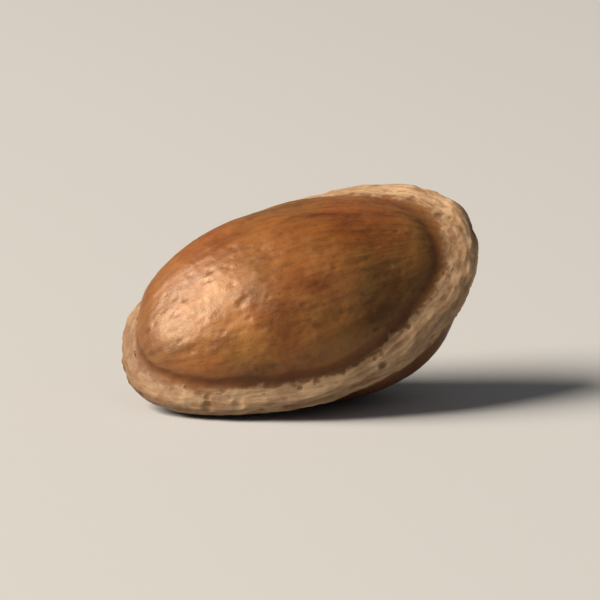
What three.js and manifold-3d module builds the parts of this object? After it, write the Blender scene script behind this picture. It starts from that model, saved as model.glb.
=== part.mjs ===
// A pine nut in its shell, as one closed solid. Millimetres, +Z up, lying on the plane z = 0.
//
// The nut is shaped in a frame of its own: x runs from the pointed end to the blunt end, y across the
// width, and z out of the domed face. The rim is the keel that runs all round the shell, close to the
// plane z = 0 of that frame, between the domed face and the wedge-shaped back. The shaped nut is then
// turned as it lies, on one flank of the back, and a small spot is taken flat where it rests.
import * as THREE from "three";
import { mergeVertices } from "three/addons/utils/BufferGeometryUtils.js";
import Module from "manifold-3d";

// Driving dimensions
const NUT_LENGTH = 11.4; // from tip to tip, over the rim
const NUT_WIDTH = 7.3; // across the rim
const NUT_THICKNESS = 5.7; // from the domed face to the keel of the back
const DOME_SHARE = 0.43; // how much of the thickness lies above the rim's plane
const RIM_REACH = 0.34; // how far the rim stands out of the shell along its sides
const RIM_REACH_AT_ENDS = 0.46;
const RIM_THICKNESS = 0.8;
const CREASE_DEPTH = 0.1; // of the crease between the rim and the domed face
const BEAK_LENGTH = 0.08; // how far the pointed end is drawn out
const BEAK_RADIUS = 0.9;
const BLUNT_END_WIDENING = 0.04; // the blunt end is wider than the middle by this share
const BLUNT_END_DEEPENING = 0.1; // and its back is deeper by this share
const REST_SPOT_DEPTH = 0.1; // how much of the flank is taken flat where the nut rests

// How the nut lies, in degrees
const LEAN = 38; // of the rim's plane out of the level, with the domed face towards -Y
const PITCH = 19; // of the long axis out of the level, with the pointed end low
const YAW = 6; // round the upright, with the pointed end turned towards -Y

// Mesh
const FACE_STEPS = 32; // along and across each face
const RIM_STEPS = 16; // through the height of the rim's band
const RIM_BAND = 0.84; // half the height of that band

const DOME_HEIGHT = DOME_SHARE * NUT_THICKNESS;
const BACK_DEPTH = NUT_THICKNESS - DOME_HEIGHT;
const SHELL_HALF = {
  length: NUT_LENGTH / 2 - RIM_REACH_AT_ENDS,
  width: NUT_WIDTH / 2 - RIM_REACH,
};
const ROUNDNESS = 2.2; // exponent of the shell's rounded form: 2 is an ellipsoid
const FLAT_SHARPNESS = 6; // how sharply the pressed flats meet the rounded form

const radians = THREE.MathUtils.degToRad;
const bell = (t) => Math.exp(-t * t);
const bellRound = (turn, spread) => Math.exp((Math.cos(turn) - 1) / spread ** 2);
const total = (list, term) => list.reduce((sum, item) => sum + term(item), 0);

// The turn from the nut's own frame to the way it lies.
const LIE = new THREE.Matrix4()
  .makeRotationZ(radians(YAW))
  .multiply(new THREE.Matrix4().makeRotationY(-radians(PITCH)))
  .multiply(new THREE.Matrix4().makeRotationX(radians(LEAN)));
const DOWN = new THREE.Vector3(0, 0, -1).transformDirection(LIE.clone().invert());

// Flats that the neighbouring nuts and scales pressed into the shell: the way each one faces, and its
// distance from the middle of the nut.
const FLATS = [
  { faces: DOWN.toArray(), distance: 3.3 }, // near flank, on which it lies
  { faces: [0.08, 0.66, -0.75], distance: 2.7 }, // far flank
  { faces: [0.5, -0.42, 0.76], distance: 2.95 }, // domed face, blunt end, near side
  { faces: [0.42, 0.48, 0.77], distance: 3.15 }, // domed face, blunt end, far side
  { faces: [0.62, -0.78, 0], distance: 4.2 }, // near side of the blunt end
  { faces: [-0.5, 0.87, 0], distance: 3.9 }, // far side of the pointed end
  { faces: [-1, -0.1, 0], distance: 5.2 }, // pointed end
  { faces: [0.9, 0.12, -0.42], distance: 5.6 }, // under the blunt end
].map(({ faces, distance }) => ({
  normal: new THREE.Vector3(...faces).normalize(),
  distance,
}));

// Slow waves that take the evenness out of the grown form: their height, and how fast they run along
// x, y and z in radians a millimetre.
const LUMPS = [
  { height: 0.05, runs: new THREE.Vector3(0.9, 0.7, 0), phase: 2.1 },
  { height: 0.03, runs: new THREE.Vector3(0.8, 1.7, -0.8), phase: 1.4 },
  { height: 0.02, runs: new THREE.Vector3(2.3, 1.9, -1.4), phase: 2.2 },
];

// The rim's own waves, each with a number of lobes round the nut: they swell its reach, and let its
// middle wander up and down. The rim is slimmer on the far side of the pointed end.
const RIM_SWELLS = [
  { share: 0.06, lobes: 3, phase: 0.8 },
  { share: 0.05, lobes: 7, phase: 2.0 },
];
const RIM_WANDER = [
  { height: 0.18, lobes: 2, phase: 0.17 },
  { height: 0.04, lobes: 5, phase: 0.3 },
];
const RIM_SLIMMING = { share: 0.35, bearing: 128, spread: 27 }; // bearing and spread in degrees

// The rim's profile, by the height over its middle in half thicknesses.
const RIM_UPPER_EDGE = 4; // exponent of the steep edge towards the domed face
const RIM_LOWER_EDGE = 2.4; // exponent of the slope into the back
const RIM_LOWER_SPREAD = 1.33;
const CREASE_PLACE = 1.7;
const CREASE_SPREAD = 0.5;

// A point of the box's surface, each coordinate from -1 to 1, gives the bearing of a point round the
// nut, and how far it lies up or down from the rim's plane, as a sine.
function bearingOf(box) {
  const lengthwise = box.x * Math.sqrt(1 - (box.y * box.y) / 2);
  const widthwise = box.y * Math.sqrt(1 - (box.x * box.x) / 2);
  const fromMiddle = Math.min(1, Math.hypot(lengthwise, widthwise));
  const bearing = Math.atan2(widthwise, lengthwise);
  const height = box.z < 0 ? BACK_DEPTH : DOME_HEIGHT;
  if (Math.abs(box.z) < 1) return { bearing, rise: (box.z * RIM_BAND) / height };
  const bandEdge = Math.asin(RIM_BAND / height);
  const latitude = bandEdge + (Math.PI / 2 - bandEdge) * (1 - fromMiddle);
  return { bearing, rise: box.z * Math.sin(latitude) };
}

// The shell without its rim: a rounded form with the pressed flats.
function shellPoint(bearing, rise) {
  const height = rise < 0 ? BACK_DEPTH : DOME_HEIGHT;
  const level = Math.sqrt(Math.max(0, 1 - rise * rise));
  const unit = [level * Math.cos(bearing), level * Math.sin(bearing), rise];
  const point = new THREE.Vector3(
    unit[0] * SHELL_HALF.length,
    unit[1] * SHELL_HALF.width,
    unit[2] * height,
  );
  const rounded = total(unit, (c) => Math.abs(c) ** ROUNDNESS) ** (1 / ROUNDNESS);
  const reached = (flat) => Math.max(0, flat.normal.dot(point) / flat.distance);
  const pressed = total(FLATS, (flat) => reached(flat) ** FLAT_SHARPNESS);
  return point.divideScalar((rounded ** FLAT_SHARPNESS + pressed) ** (1 / FLAT_SHARPNESS));
}

function addLumps(point) {
  const outward = point.clone().normalize();
  const height = total(LUMPS, (wave) => wave.height * Math.sin(wave.runs.dot(point) + wave.phase));
  point.addScaledVector(outward, height);
}

// The rim is steep towards the domed face, with a crease at its foot, and slopes into the back.
function addRim(point, bearing) {
  const swell = total(RIM_SWELLS, (wave) => wave.share * Math.sin(wave.lobes * bearing + wave.phase));
  const middle = total(RIM_WANDER, (wave) => wave.height * Math.sin(wave.lobes * bearing + wave.phase));
  const slim = bellRound(bearing - radians(RIM_SLIMMING.bearing), radians(RIM_SLIMMING.spread));
  const even = THREE.MathUtils.lerp(RIM_REACH, RIM_REACH_AT_ENDS, Math.cos(bearing) ** 2);
  const t = (point.z - middle) / (RIM_THICKNESS / 2);
  const fall = t > 0 ? t ** RIM_UPPER_EDGE : (-t / RIM_LOWER_SPREAD) ** RIM_LOWER_EDGE;
  const crease = CREASE_DEPTH * bell((t - CREASE_PLACE) / CREASE_SPREAD);
  const reach = even * (1 + swell - RIM_SLIMMING.share * slim) * Math.exp(-fall) - crease;
  const outward = new THREE.Vector2(
    Math.cos(bearing) / SHELL_HALF.length,
    Math.sin(bearing) / SHELL_HALF.width,
  ).normalize();
  point.x += outward.x * reach;
  point.y += outward.y * reach;
}

// The blunt end is the wider and deeper one, and the pointed end is drawn out into a low beak.
function shapeEnds(point) {
  const share = point.x / SHELL_HALF.length;
  point.y *= 1 + BLUNT_END_WIDENING * share;
  point.z *= 1 + (point.z < 0 ? BLUNT_END_DEEPENING : BLUNT_END_WIDENING) * share;
  const beak = BEAK_LENGTH * bell(Math.hypot(point.y, point.z) / BEAK_RADIUS);
  point.x += beak * Math.min(0, share);
}

// Where a point of the box's surface comes to lie on the nut.
function nutPoint(box) {
  const { bearing, rise } = bearingOf(box);
  const point = shellPoint(bearing, rise);
  addLumps(point);
  addRim(point, bearing);
  shapeEnds(point);
  return point;
}

function nutGeometry() {
  const box = new THREE.BoxGeometry(2, 2, 2, FACE_STEPS, FACE_STEPS, RIM_STEPS);
  box.deleteAttribute("normal");
  box.deleteAttribute("uv");
  const geometry = mergeVertices(box);
  const places = geometry.getAttribute("position");
  const corner = new THREE.Vector3();
  for (let i = 0; i < places.count; i++) {
    const { x, y, z } = nutPoint(corner.fromBufferAttribute(places, i));
    places.setXYZ(i, x, y, z);
  }
  return geometry;
}

// The flats and lumps change the size a little, so the nut is brought to its measured size.
function bringToSize(geometry) {
  geometry.computeBoundingBox();
  const size = geometry.boundingBox.getSize(new THREE.Vector3());
  geometry.scale(NUT_LENGTH / size.x, NUT_WIDTH / size.y, NUT_THICKNESS / size.z);
}

// Turns the nut as it lies, and lowers it until the spot it rests on is REST_SPOT_DEPTH too low.
function layDown(geometry) {
  geometry.applyMatrix4(LIE);
  geometry.computeBoundingBox();
  geometry.translate(0, 0, -geometry.boundingBox.min.z - REST_SPOT_DEPTH);
}

const wasm = await Module();
wasm.setup();

function solidOf(geometry) {
  return new wasm.Manifold(
    new wasm.Mesh({
      numProp: 3,
      vertProperties: new Float32Array(geometry.getAttribute("position").array),
      triVerts: new Uint32Array(geometry.index.array),
    }),
  );
}

function geometryOf(solid) {
  const { vertProperties, triVerts } = solid.getMesh();
  const geometry = new THREE.BufferGeometry();
  geometry.setAttribute("position", new THREE.BufferAttribute(vertProperties, 3));
  geometry.setIndex(new THREE.BufferAttribute(triVerts, 1));
  return geometry;
}

// Takes away what reaches below z = 0, which leaves the flat spot.
function cutRestSpot(geometry) {
  const size = 3 * NUT_LENGTH;
  const below = new THREE.BoxGeometry(size, size, size).translate(0, 0, -size / 2);
  below.deleteAttribute("normal");
  below.deleteAttribute("uv");
  return geometryOf(solidOf(geometry).subtract(solidOf(mergeVertices(below))));
}

// Puts the middle of the nut's box over the origin.
function centre(geometry) {
  geometry.computeBoundingBox();
  const middle = geometry.boundingBox.getCenter(new THREE.Vector3());
  geometry.translate(-middle.x, -middle.y, 0);
}

function makeNut() {
  const shaped = nutGeometry();
  bringToSize(shaped);
  layDown(shaped);
  const geometry = cutRestSpot(shaped);
  centre(geometry);
  geometry.computeVertexNormals();
  const shellMaterial = new THREE.MeshStandardMaterial({
    color: 0xa86c3c,
    roughness: 0.5,
    metalness: 0,
  });
  const nut = new THREE.Mesh(geometry, shellMaterial);
  nut.name = "nut";
  return nut;
}

const part = new THREE.Group();
part.add(makeNut());

export default part;
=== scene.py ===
# A pine nut in its shell, lying on one flank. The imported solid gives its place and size, and this script
# gives it the grown surface: waves, strands, grain, pits, the ragged pale rim, the two ends, colour and
# gloss. Metres, +Z up. Sizes on the nut are named in millimetres, which MM turns to metres.
import math
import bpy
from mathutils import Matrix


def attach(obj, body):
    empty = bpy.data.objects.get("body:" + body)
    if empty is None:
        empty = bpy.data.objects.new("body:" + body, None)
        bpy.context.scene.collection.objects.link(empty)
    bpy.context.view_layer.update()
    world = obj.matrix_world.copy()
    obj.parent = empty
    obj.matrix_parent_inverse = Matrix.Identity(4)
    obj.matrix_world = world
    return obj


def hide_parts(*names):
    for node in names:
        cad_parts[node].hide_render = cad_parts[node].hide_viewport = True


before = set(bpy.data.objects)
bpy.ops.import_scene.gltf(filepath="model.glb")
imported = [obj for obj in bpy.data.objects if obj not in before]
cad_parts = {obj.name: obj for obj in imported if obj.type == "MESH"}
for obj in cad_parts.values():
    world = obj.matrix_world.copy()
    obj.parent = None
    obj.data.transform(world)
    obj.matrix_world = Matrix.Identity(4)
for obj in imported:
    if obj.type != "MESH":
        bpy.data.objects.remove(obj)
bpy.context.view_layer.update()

from types import SimpleNamespace

import bpy
import numpy as np
from mathutils import Euler, Matrix, Vector, noise

MM = 0.001

# The nut's own frame: x runs from the pointed end to the blunt end, y across the width, z out of the
# domed face, and its middle lies in the plane of the rim.
LIE = Euler((math.radians(38), math.radians(-19), math.radians(6)))
MIDDLE = Vector((-0.036, 0.154, 3.015)) * MM
NUT_TO_FRAME = Matrix.LocRotScale(MIDDLE, LIE, Vector((MM, MM, MM)))
HALF_LENGTH = 5.7
HALF_WIDTH = 3.65
RIM_RADIUS = 4.6  # of a round rim about as long as this one
GIRTH_RADIUS = 2.6  # about how far the shell is from the long axis
AXIS_GAP = 0.02  # added to that distance, so that a point on the axis divides by more than 0

# The rim's middle wanders up and down round the nut: height, lobes, phase
RIM_WANDER = ((0.185, 2, 0.17), (0.041, 5, 0.3))

# Heights over the rim's middle, below 0 under it. A pair is where an edge starts and where it ends.
RIM_TOP = (0.36, 0.62)
RIM_FOOT = (-0.95, -0.45)
BAND_TOP = (0.52, 0.66)
BAND_FOOT = (-0.95, -0.65)
FILM_PLACE = 0.1
FILM_COVER = 1.1  # at that place, and less by 1 for each half width from it
FILM_HALF_WIDTH = 0.63
SUTURE_PLACE = 0.03
CREASE_PLACE = 0.72
RIDGE_HALF_WIDTH = 0.3

# The relief
OFF_THE_RIM = 0.05  # a point with a smaller share of the rim is on the face or the back
FILM_HEIGHT = 0.025
CREASE_DEPTH = 0.025
SUTURE_DEPTH = 0.04
LIP_RADIUS = 0.34  # of the low lip round the pore
OCTAVE_FALL = 1.0  # how fast the finer octaves of a cloud weaken
OCTAVE_STEP = 2.0  # how many times finer each is than the one before
BUMP_HEIGHT = 0.014  # of the finest grain, which is drawn by the finish

# The middles of the patches of colour on the face: a stain that is partly painted shade, a russet flush that
# is partly painted shade at the top, and a painted highlight
STAIN_AND_SHADE = (2.2, -2.15, 1.25)
RUSSET_AND_SHADE = (1.2, 0.7, 2.3)
PAINTED_HIGHLIGHT = (-2.9, -1.7, 1.7)

# The mesh
WELD = 0.001
SHORTEST_EDGE = 0.05
FACE_SIDE = 0.053  # of the even faces that the relief is drawn on
REST_FLAT = 0.012  # what lies lower than this is the flat spot
REST_FADE = (0.03, 0.3)  # the relief fades in between these heights over the flat spot

# The studio, in metres and degrees, with the lens and sensor in millimetres
CAMERA_TILT = 12  # over the level, as in the photograph
CAMERA_DISTANCE = 0.15
CAMERA_AIM = Vector((0, 0, 3.1 * MM))
LENS = 300
SENSOR_WIDTH = 36
NEAREST_SEEN = 0.01
LIGHT_AIM = Vector((0, 0, 3 * MM))
SKY_STRENGTH = 0.14
FLOOR_SIDE = 2.0

# Colours and gloss
CARAMEL = (0.185, 0.072, 0.018)
RUSSET = (0.168, 0.054, 0.013)
OCHRE = (0.187, 0.083, 0.021)
DARKER = (0.5, 0.44, 0.38)
AS_IT_IS = (1, 1, 1)
LIGHTER = (1.22, 1.2, 1.12)
STAIN_AND_SHADE_TINT = (0.62, 0.65, 0.72)
RUSSET_AND_SHADE_TINT = (0.85, 0.68, 0.5)
PAINTED_HIGHLIGHT_TINT = (1.4, 1.5, 1.6)
PAINTED_RIM_LIGHT_TINT = (1.6, 1.6, 1.6)
WORN = (0.3, 0.15, 0.062)
CREASE_SHADE_AND_DIRT = (0.13, 0.043, 0.015)
DIRT_AND_SHADE = (0.07, 0.025, 0.01)
DARK_TAN = (0.137, 0.065, 0.03)
OLD_TAN = (0.208, 0.113, 0.056)
PALE_TAN = (0.275, 0.173, 0.098)
DRY_SKIN = (0.345, 0.24, 0.145)
GLOSS_TINT = (1.0, 0.75, 0.54)
FLOOR_GREY = (0.42, 0.43, 0.44)
WHITE = (1.0, 1.0, 1.0)
WARM_WHITE = (1.0, 0.88, 0.74)
FACE_ROUGHNESS = (0.3, 0.45)
DUSTY_ROUGHNESS = 0.62
RIM_ROUGHNESS = 0.72
DARKNESS_AT_ENDS = 0.75


# Handling

def place_in_scene(name, data):
    thing = bpy.data.objects.new(name, data)
    bpy.context.scene.collection.objects.link(thing)
    return thing


def take(thing):
    """Selects that thing alone."""
    bpy.ops.object.select_all(action="DESELECT")
    thing.select_set(True)
    bpy.context.view_layer.objects.active = thing


def apply_modifier(thing, kind, **values):
    take(thing)
    modifier = thing.modifiers.new(kind.lower(), kind)
    for name, value in values.items():
        setattr(modifier, name, value)
    bpy.ops.object.modifier_apply(modifier=modifier.name)


def points_of(thing):
    flat = np.empty(len(thing.data.vertices) * 3, np.float32)
    thing.data.vertices.foreach_get("co", flat)
    return flat.reshape(-1, 3).astype(float)


def normals_of(thing):
    flat = np.empty(len(thing.data.vertices) * 3, np.float32)
    thing.data.vertex_normals.foreach_get("vector", flat)
    return flat.reshape(-1, 3).astype(float)


def ease(value, start, end):
    """0 up to the start and 1 from the end on, with a smooth rise between them."""
    share = np.clip((value - start) / (end - start), 0, 1)
    return share * share * (3 - 2 * share)


def bell(value, spread, height=1.0):
    """A smooth hump of that height where the value is 0, almost gone at two spreads from it."""
    return height * np.exp(-((value / spread) ** 2))


def cloud(points, height, size, octaves, shift):
    """Soft noise up to about that height and depth, in patches of that size. Each has its own shift."""
    start = Vector((shift, shift, shift))
    places = (Vector(point) / size + start for point in points)
    return height * np.array([noise.fractal(p, OCTAVE_FALL, OCTAVE_STEP, octaves) for p in places])


# The bare shell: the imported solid's form, welded, smoothed and given even faces all over

def copy_of_solid():
    shell = place_in_scene("nut_shell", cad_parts["nut"].data.copy())
    take(shell)
    bpy.ops.mesh.customdata_custom_splitnormals_clear()
    bpy.ops.object.mode_set(mode="EDIT")
    bpy.ops.mesh.select_all(action="SELECT")
    bpy.ops.mesh.remove_doubles(threshold=WELD * MM)
    bpy.ops.mesh.dissolve_degenerate(threshold=SHORTEST_EDGE * MM)
    bpy.ops.mesh.tris_convert_to_quads()
    bpy.ops.object.mode_set(mode="OBJECT")
    shell.data.materials.clear()
    return shell


def even_out(shell):
    apply_modifier(shell, "SUBSURF", levels=2, render_levels=2)
    apply_modifier(shell, "REMESH", mode="VOXEL", voxel_size=FACE_SIDE * MM, use_smooth_shade=True)
    apply_modifier(shell, "SMOOTH", factor=0.5, iterations=4)


def press_rest_spot_flat(shell):
    take(shell)
    for vertex in shell.data.vertices:
        vertex.select = vertex.co.z < REST_FLAT * MM
    bpy.ops.object.mode_set(mode="EDIT")
    bpy.ops.mesh.select_mode(type="VERT")
    bpy.ops.transform.resize(value=(1, 1, 0), center_override=(0, 0, 0))
    bpy.ops.object.mode_set(mode="OBJECT")


def places_on(shell):
    """Where each point is on the nut, in millimetres in the nut's own frame. The rim and what is free of
    the floor are shares from 0 to 1. Patterns follow the shell along_nut and the rim along_rim."""
    turn = np.array(NUT_TO_FRAME.inverted())
    world = points_of(shell)
    nut = world @ turn[:3, :3].T + turn[:3, 3]
    x, y, z = nut.T
    bearing = np.arctan2(y / HALF_WIDTH, x / HALF_LENGTH)
    rim_middle = sum(height * np.sin(lobes * bearing + phase) for height, lobes, phase in RIM_WANDER)
    over_rim = z - rim_middle
    girth = np.hypot(y, z) + AXIS_GAP
    return SimpleNamespace(
        nut=nut,
        over_rim=over_rim,
        rim=ease(over_rim, *RIM_FOOT) * (1 - ease(over_rim, *RIM_TOP)),
        along_rim=np.c_[np.cos(bearing) * RIM_RADIUS, np.sin(bearing) * RIM_RADIUS, over_rim],
        along_nut=np.c_[x, y / girth * GIRTH_RADIUS, z / girth * GIRTH_RADIUS],
        free=ease(world[:, 2] / MM, *REST_FADE),
        from_tip=np.linalg.norm(nut - nut[x.argmin()], axis=1),
        from_blunt_end=np.linalg.norm(nut - nut[x.argmax()], axis=1),
    )


# Relief, in millimetres out of the shell

def dents(at, allowed, count, radii, depths, seed, stretch=(1, 1, 1)):
    """Small hollows at random points where they are allowed, longer along the nut where stretched."""
    draw = np.random.default_rng(seed)
    heights = np.zeros(len(at.nut))
    for middle in draw.choice(np.flatnonzero(allowed), count):
        away = np.linalg.norm((at.nut - at.nut[middle]) / stretch, axis=1)
        heights -= bell(away, height=draw.uniform(*depths), spread=draw.uniform(*radii))
    return heights


def face_relief(at):
    off_rim = at.rim < OFF_THE_RIM
    drawn_out = (1.5, 1, 1)
    waves = cloud(at.nut, height=0.03, size=1.7, octaves=1, shift=3.1)
    dimples = cloud(at.nut, height=0.012, size=0.62, octaves=2, shift=7.7)
    strands = cloud(at.along_nut * (0.16, 1, 1), height=0.006, size=0.3, octaves=2, shift=1.3)
    grain = cloud(at.nut, height=0.0055, size=0.17, octaves=1, shift=9.2)
    pits = dents(at, off_rim, count=300, radii=(0.05, 0.1), depths=(0.008, 0.022), seed=5, stretch=drawn_out)
    dips = dents(at, off_rim, count=26, radii=(0.25, 0.5), depths=(0.01, 0.03), seed=6, stretch=drawn_out)
    return waves + dimples + strands + grain + pits + dips


def rim_relief(at):
    ridge = np.abs(at.over_rim) < RIDGE_HALF_WIDTH
    fibres = cloud(at.along_rim * (0.3, 0.3, 2.4), height=0.022, size=0.2, octaves=2, shift=4.4)
    rag = cloud(at.nut, height=0.028, size=0.55, octaves=3, shift=5.5)
    nicks = dents(at, ridge, count=36, radii=(0.08, 0.22), depths=(0.02, 0.08), seed=8)
    return at.rim * (fibres + rag + nicks)


def ends_relief(at):
    """A pore with a low lip at the pointed end, and a shallow scar at the blunt end."""
    pore = bell(at.from_tip, height=0.12, spread=0.15)
    lip = bell(at.from_tip - LIP_RADIUS, height=0.03, spread=0.15)
    scar = bell(at.from_blunt_end, height=0.05, spread=0.45)
    return lip - pore - scar


# Marks: where something shows on the shell, from 0 to 1

def band_mark(at):
    """The tan ground of the rim."""
    ragged = cloud(at.nut, height=0.12, size=0.7, octaves=2, shift=11.3)
    rough = cloud(at.nut, height=0.05, size=0.17, octaves=1, shift=2.7)
    edge = at.over_rim + ragged + rough
    return ease(edge, *BAND_FOOT) * (1 - ease(edge, *BAND_TOP))


def film_mark(at):
    """The dry pale skin on the rim, with torn edges and windows."""
    cover = FILM_COVER - np.abs(at.over_rim - FILM_PLACE) / FILM_HALF_WIDTH
    tears = cloud(at.nut, height=0.26, size=0.6, octaves=2, shift=6.1)
    shreds = cloud(at.nut, height=0.17, size=0.2, octaves=2, shift=3.3)
    torn = tears + shreds
    return ease(cover + torn, start=0.36, end=0.46)


def suture_mark(at):
    """The broken line along the rim where the halves of the shell meet."""
    course = SUTURE_PLACE + cloud(at.along_rim, height=0.07, size=0.9, octaves=2, shift=2.0)
    stretches = cloud(at.along_rim, height=1.0, size=1.6, octaves=2, shift=8.8)
    return ease(stretches, start=-0.35, end=0.05) * bell(at.over_rim - course, spread=0.085)


def crease_mark(at):
    wander = cloud(at.along_rim, height=0.07, size=0.8, octaves=2, shift=5.1)
    return bell(at.over_rim - CREASE_PLACE - wander, spread=0.13)


def patch_mark(at, middle, length, width, shift):
    """A ragged patch of colour round its middle, of that length and width."""
    away = np.linalg.norm((at.nut - np.array(middle)) / (length / width, 1, 1), axis=1)
    ragged = cloud(at.nut, height=0.5, size=1.1, octaves=3, shift=shift)
    return bell(away + ragged, spread=width / 2)


# Partly a darker stain of the shell, partly painted shade at the face's lower right, away from the key light
def stain_and_shade_mark(at):
    return patch_mark(at, STAIN_AND_SHADE, length=2.6, width=2.6, shift=4.9)


# A russet flush along the top of the face, darkened further as painted shade at the top
def russet_and_shade_mark(at):
    return patch_mark(at, RUSSET_AND_SHADE, length=5.0, width=3.0, shift=8.3)


# Painted highlight: a paler patch below the gloss highlight at the face's lower left
def painted_highlight_mark(at):
    return patch_mark(at, PAINTED_HIGHLIGHT, length=2.6, width=1.9, shift=6.6)


def painted_rim_light_mark(at):
    """Painted light: the rim at the blunt end, paler than the rest of it."""
    return at.rim * bell(at.from_blunt_end, spread=3.0)


def ends_mark(at):
    """The dark pore at the pointed end, the shell darker towards the pointed end, and dirt round the blunt
    end's scar.
    """
    ragged = cloud(at.nut, height=0.05, size=0.3, octaves=2, shift=7.1)
    pore = 1 - ease(at.from_tip + ragged, start=0.13, end=0.27)
    darker_towards_tip = bell(at.from_tip, height=0.85, spread=2.3)
    scar_dirt = bell(at.from_blunt_end, height=0.45, spread=0.55)
    return np.maximum(pore, darker_towards_tip + scar_dirt)


def dull_mark(at):
    """Dust that dulls the shell beside the crease and towards the blunt end."""
    dusty = cloud(at.nut, height=0.25, size=0.8, octaves=3, shift=12.4)
    beside_crease = bell(at.over_rim - CREASE_PLACE, spread=0.45)
    near_blunt_end = bell(at.from_blunt_end, height=0.85, spread=3.2)
    return np.clip(np.maximum(beside_crease, near_blunt_end) + dusty, 0, 1)


MARKS = {
    "band": band_mark,
    "film": film_mark,
    "suture": suture_mark,
    "crease": crease_mark,
    "stain_and_shade": stain_and_shade_mark,
    "russet_and_shade": russet_and_shade_mark,
    "painted_highlight": painted_highlight_mark,
    "painted_rim_light": painted_rim_light_mark,
    "ends": ends_mark,
    "dull": dull_mark,
}


# The dressed shell

def raise_shell(shell, at, heights):
    """Moves every point out by its height: a Displace modifier reads the height as a weight."""
    heights = heights * at.free
    low = float(heights.min())
    span = float(heights.max()) - low
    group = shell.vertex_groups.new(name="relief")
    for index, weight in enumerate((heights - low) / span):
        group.add([index], weight, "REPLACE")
    apply_modifier(shell, "DISPLACE", vertex_group=group.name, strength=span * MM, mid_level=0.0)
    apply_modifier(shell, "DISPLACE", strength=low * MM, mid_level=0.0)
    shell.vertex_groups.remove(shell.vertex_groups["relief"])


def measure_hollows(shell):
    """How far every point stands out of the shell round it, in millimetres: less than 0 in a hollow."""
    smooth = place_in_scene("smooth_copy", shell.data.copy())
    apply_modifier(smooth, "SMOOTH", factor=0.5, iterations=24)
    out = ((points_of(shell) - points_of(smooth)) * normals_of(smooth)).sum(1) / MM
    bpy.data.objects.remove(smooth)
    return out


def keep_for_finish(shell, name, values):
    if values.ndim == 2:
        shell.data.attributes.new(name, "FLOAT_VECTOR", "POINT").data.foreach_set("vector", values.ravel())
    else:
        shell.data.attributes.new(name, "FLOAT", "POINT").data.foreach_set("value", values)


def make_shell():
    shell = copy_of_solid()
    even_out(shell)
    press_rest_spot_flat(shell)
    at = places_on(shell)
    marks = {name: mark(at) for name, mark in MARKS.items()}
    heights = face_relief(at) + rim_relief(at) + ends_relief(at)
    heights += FILM_HEIGHT * marks["film"] - CREASE_DEPTH * marks["crease"] - SUTURE_DEPTH * marks["suture"]
    raise_shell(shell, at, heights)
    shell.data.shade_smooth()
    for name, values in marks.items():
        keep_for_finish(shell, name, values)
    keep_for_finish(shell, "hollows", measure_hollows(shell))
    keep_for_finish(shell, "along_nut", at.along_nut)
    keep_for_finish(shell, "along_rim", at.along_rim)
    return shell


# Finishes

def add(tree, kind, settings=None, **inputs):
    """A node with its settings and inputs. An input that is a socket is linked, any other is a value, and
    one named _0 or _1 goes to the socket of that number."""
    node = tree.nodes.new(kind)
    for name, value in (settings or {}).items():
        setattr(node, name, value)
    for name, value in inputs.items():
        place = int(name[1:]) if name[1:].isdigit() else name.replace("_", " ")
        socket = node.inputs[place]
        if isinstance(value, bpy.types.NodeSocket):
            tree.links.new(value, socket)
        else:
            socket.default_value = value
    return node


def kept(tree, name, output="Fac"):
    """What keep_for_finish kept under that name."""
    return add(tree, "ShaderNodeAttribute", {"attribute_name": name}).outputs[output]


def stretched(tree, vector, amounts):
    """The vector with its parts multiplied: an amount below 1 draws a pattern out along that part."""
    node = add(tree, "ShaderNodeVectorMath", {"operation": "MULTIPLY"}, _0=vector, _1=amounts)
    return node.outputs[0]


def patches(tree, where, size, detail, roughness):
    node = add(tree, "ShaderNodeTexNoise", Vector=where, Scale=1 / size, Detail=detail, Roughness=roughness)
    return node.outputs["Fac"]


def scaled(tree, value, low, high, to_low=0.0, to_high=1.0):
    """The value spread so that low comes out as to_low and high as to_high, and no further either way."""
    node = add(tree, "ShaderNodeMapRange", Value=value,
               From_Min=low, From_Max=high, To_Min=to_low, To_Max=to_high)
    return node.outputs["Result"]


def work_out(tree, how, first, second):
    return add(tree, "ShaderNodeMath", {"operation": how}, _0=first, _1=second).outputs[0]


def times(tree, first, second):
    return work_out(tree, "MULTIPLY", first, second)


def dots(tree, where, size, radius, share, strength):
    """Round specks of that strength, one in each cell of that size in that share of the cells."""
    cells = add(tree, "ShaderNodeTexVoronoi", Vector=where, Scale=1 / size)
    full_radius = radius * 0.55
    speck = scaled(tree, cells.outputs["Distance"], low=radius, high=full_radius)
    lot = add(tree, "ShaderNodeSeparateColor", Color=cells.outputs["Color"])
    chosen = work_out(tree, "LESS_THAN", lot.outputs[0], share)
    return times(tree, times(tree, speck, chosen), strength)


def blended(tree, share, under, over):
    return add(tree, "ShaderNodeMix", {"data_type": "FLOAT"}, _0=share, _2=under, _3=over).outputs[0]


def tones(tree, value, *stops):
    """The colour for the value, blended between stops that are each a value and its colour."""
    node = add(tree, "ShaderNodeValToRGB", Fac=value)
    ramp = node.color_ramp
    while len(ramp.elements) < len(stops):
        ramp.elements.new(0.5)
    for element, (place, colour) in zip(ramp.elements, stops):
        element.position = place
        element.color = (*colour, 1)
    return node.outputs["Color"]


def cover_with(tree, share, under, over, how="MIX"):
    if isinstance(over, tuple):
        over = (*over, 1)
    node = add(tree, "ShaderNodeMix", {"data_type": "RGBA", "blend_type": how}, _0=share, _6=under, _7=over)
    return node.outputs[2]


def tinted(tree, colour, mark, tint):
    return cover_with(tree, kept(tree, mark), colour, tint, "MULTIPLY")


def shaded(tree, colour, value, low, high, strength):
    """The colour darker where the value is low and lighter where it is high."""
    depth = tones(tree, value, (low, DARKER), ((low + high) / 2, AS_IT_IS), (high, LIGHTER))
    return cover_with(tree, strength, colour, depth, "MULTIPLY")


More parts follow.
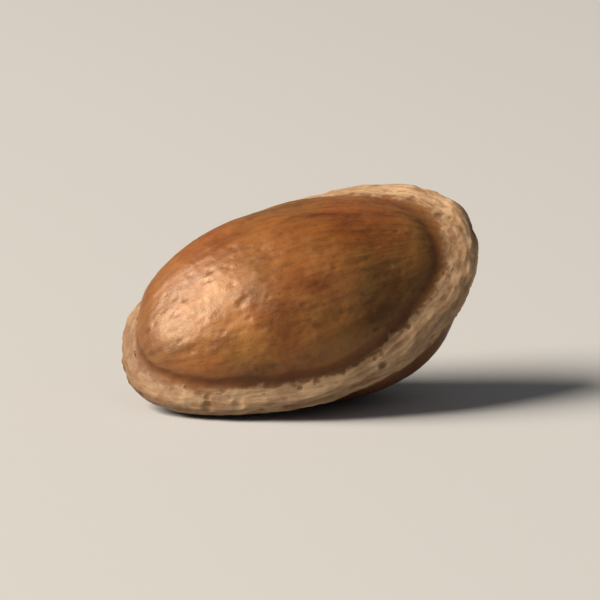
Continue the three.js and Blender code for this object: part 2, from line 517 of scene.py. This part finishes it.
def face_colour(tree, nut_mm, along_nut, hollows):
    broad = patches(tree, nut_mm, size=2.6, detail=3.0, roughness=0.6)
    colour = tones(tree, broad, (0.38, RUSSET), (0.5, CARAMEL), (0.62, OCHRE))
    mottle = patches(tree, stretched(tree, along_nut, (0.5, 1, 1)), size=0.75, detail=7.0, roughness=0.66)
    colour = shaded(tree, colour, mottle, low=0.36, high=0.64, strength=0.85)
    strands = patches(tree, stretched(tree, along_nut, (0.14, 1, 1)), size=0.2, detail=4.0, roughness=0.6)
    colour = shaded(tree, colour, strands, low=0.34, high=0.66, strength=0.4)
    # partly stain, partly painted shade at the face's lower right
    colour = tinted(tree, colour, "stain_and_shade", STAIN_AND_SHADE_TINT)
    # russet flush, darkened further as painted shade at the top
    colour = tinted(tree, colour, "russet_and_shade", RUSSET_AND_SHADE_TINT)
    # painted highlight below the gloss highlight
    colour = tinted(tree, colour, "painted_highlight", PAINTED_HIGHLIGHT_TINT)
    flecks = patches(tree, stretched(tree, along_nut, (0.4, 1, 1)), size=0.09, detail=3.0, roughness=0.6)
    colour = cover_with(tree, scaled(tree, flecks, low=0.6, high=0.68, to_high=0.4), colour, DIRT_AND_SHADE)
    drawn_out = stretched(tree, along_nut, (0.6, 1, 1))
    specks = dots(tree, drawn_out, size=0.33, radius=0.17, share=0.5, strength=0.55)
    colour = cover_with(tree, specks, colour, DIRT_AND_SHADE)
    return cover_with(tree, scaled(tree, hollows, low=0.002, high=0.012, to_high=0.3), colour, WORN)


def with_rim(tree, colour, nut_mm, along_rim, fibres):
    band = tones(tree, fibres, (0.41, DARK_TAN), (0.55, OLD_TAN), (0.7, PALE_TAN))
    colour = cover_with(tree, kept(tree, "band"), colour, band)
    film = tones(tree, fibres, (0.37, OLD_TAN), (0.48, PALE_TAN), (0.6, DRY_SKIN))
    mottle = patches(tree, nut_mm, size=0.9, detail=5.0, roughness=0.62)
    film = shaded(tree, film, mottle, low=0.38, high=0.6, strength=0.45)
    drawn_out = stretched(tree, along_rim, (0.7, 0.7, 1.4))
    specks = dots(tree, drawn_out, size=0.3, radius=0.16, share=0.35, strength=0.5)
    film = cover_with(tree, specks, film, DARK_TAN)
    colour = cover_with(tree, kept(tree, "film"), colour, film)
    # painted light: the rim paler at the blunt end
    return tinted(tree, colour, "painted_rim_light", PAINTED_RIM_LIGHT_TINT)


def with_dirt_and_shade(tree, colour, nut_mm, hollows):
    grime = patches(tree, nut_mm, size=0.45, detail=5.0, roughness=0.65)
    # the crease darker, partly dirt and partly painted shade
    shade_and_dirt_in_crease = scaled(tree, grime, low=0.36, high=0.6, to_low=0.25, to_high=0.85)
    colour = cover_with(tree, times(tree, kept(tree, "crease"), shade_and_dirt_in_crease), colour, CREASE_SHADE_AND_DIRT)
    in_suture = scaled(tree, grime, low=0.36, high=0.6, to_low=0.1, to_high=0.6)
    colour = cover_with(tree, times(tree, kept(tree, "suture"), in_suture), colour, DIRT_AND_SHADE)
    # painted shade: the shell darker in its hollows
    shade_in_hollows = scaled(tree, hollows, low=-0.004, high=-0.024, to_high=0.55)
    colour = cover_with(tree, shade_in_hollows, colour, DIRT_AND_SHADE)
    return cover_with(tree, times(tree, kept(tree, "ends"), DARKNESS_AT_ENDS), colour, DIRT_AND_SHADE)


def shell_roughness(tree, nut_mm, band):
    shiny, worn = FACE_ROUGHNESS
    wear = patches(tree, nut_mm, size=0.3, detail=5.0, roughness=0.6)
    face = scaled(tree, wear, low=0.3, high=0.7, to_low=shiny, to_high=worn)
    face = blended(tree, kept(tree, "dull"), face, DUSTY_ROUGHNESS)
    return blended(tree, band, face, RIM_ROUGHNESS)


def shell_bump(tree, nut_mm, band, fibres):
    grain = patches(tree, nut_mm, size=0.06, detail=4.0, roughness=0.65)
    height = blended(tree, band, grain, fibres)
    return add(tree, "ShaderNodeBump", Strength=0.6, Distance=BUMP_HEIGHT * MM, Height=height).outputs[0]


def shell_finish():
    material = bpy.data.materials.new("shell_satin_brown")
    material.use_nodes = True
    tree = material.node_tree
    shader = tree.nodes["Principled BSDF"]
    place = add(tree, "ShaderNodeTexCoord").outputs["Object"]
    mapping = add(tree, "ShaderNodeMapping", {"vector_type": "TEXTURE"}, Vector=place,
                  Location=MIDDLE, Rotation=LIE, Scale=(MM, MM, MM))
    nut_mm = mapping.outputs[0]
    along_rim = kept(tree, "along_rim", "Vector")
    hollows = kept(tree, "hollows")
    band = kept(tree, "band")
    drawn_out = stretched(tree, along_rim, (0.35, 0.35, 3.5))
    fibres = patches(tree, drawn_out, size=0.25, detail=6.0, roughness=0.7)

    colour = face_colour(tree, nut_mm, kept(tree, "along_nut", "Vector"), hollows)
    colour = with_rim(tree, colour, nut_mm, along_rim, fibres)
    colour = with_dirt_and_shade(tree, colour, nut_mm, hollows)
    tree.links.new(colour, shader.inputs["Base Color"])
    tree.links.new(shell_roughness(tree, nut_mm, band), shader.inputs["Roughness"])
    tree.links.new(shell_bump(tree, nut_mm, band, fibres), shader.inputs["Normal"])
    shader.inputs["Coat Weight"].default_value = 0.03
    shader.inputs["Coat Roughness"].default_value = 0.34
    shader.inputs["Specular Tint"].default_value = (*GLOSS_TINT, 1)
    return material


# The studio

def make_floor():
    bpy.ops.object.select_all(action="DESELECT")
    bpy.ops.mesh.primitive_plane_add(size=FLOOR_SIDE)
    floor = bpy.context.object
    floor.name = "floor"
    material = bpy.data.materials.new("floor_pale")
    material.use_nodes = True
    shader = material.node_tree.nodes["Principled BSDF"]
    shader.inputs["Base Color"].default_value = (*FLOOR_GREY, 1)
    shader.inputs["Roughness"].default_value = 0.8
    shader.inputs["Specular IOR Level"].default_value = 0.1
    floor.data.materials.append(material)


def towards(azimuth, elevation):
    """The direction from the nut to a place round it: azimuth 0 is -Y, and 90 is +X."""
    a = math.radians(azimuth)
    e = math.radians(elevation)
    return Vector((math.sin(a) * math.cos(e), -math.cos(a) * math.cos(e), math.sin(e)))


def aim(thing, back):
    """Turns a lamp or camera that lies in the direction back to look at the nut."""
    thing.rotation_euler = (-back).to_track_quat("-Z", "Y").to_euler()


def make_light(name, azimuth, elevation, distance, size, power, colour):
    data = bpy.data.lights.new(name, "AREA")
    data.shape = "DISK"
    data.size = size
    data.energy = power
    data.color = colour
    lamp = place_in_scene(name, data)
    back = towards(azimuth, elevation)
    lamp.location = LIGHT_AIM + back * distance
    aim(lamp, back)


def make_camera():
    data = bpy.data.cameras.new("camera")
    data.lens = LENS
    data.sensor_width = SENSOR_WIDTH
    data.clip_start = NEAREST_SEEN
    camera = place_in_scene("camera", data)
    back = towards(0, CAMERA_TILT)
    camera.location = CAMERA_AIM + back * CAMERA_DISTANCE
    aim(camera, back)
    bpy.context.scene.camera = camera


def make_world():
    world = bpy.data.worlds.new("studio")
    world.use_nodes = True
    sky = world.node_tree.nodes["Background"]
    sky.inputs["Color"].default_value = (*WHITE, 1)
    sky.inputs["Strength"].default_value = SKY_STRENGTH
    bpy.context.scene.world = world


shell = make_shell()
shell.data.materials.append(shell_finish())
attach(shell, "root")
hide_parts("nut")

make_floor()
make_light("key", azimuth=-78, elevation=38, distance=0.6, size=0.4, power=9.8, colour=WARM_WHITE)
make_light("fill", azimuth=30, elevation=45, distance=0.4, size=0.3, power=0.06, colour=WHITE)
make_world()
make_camera()
bpy.context.scene.view_settings.view_transform = "Standard"
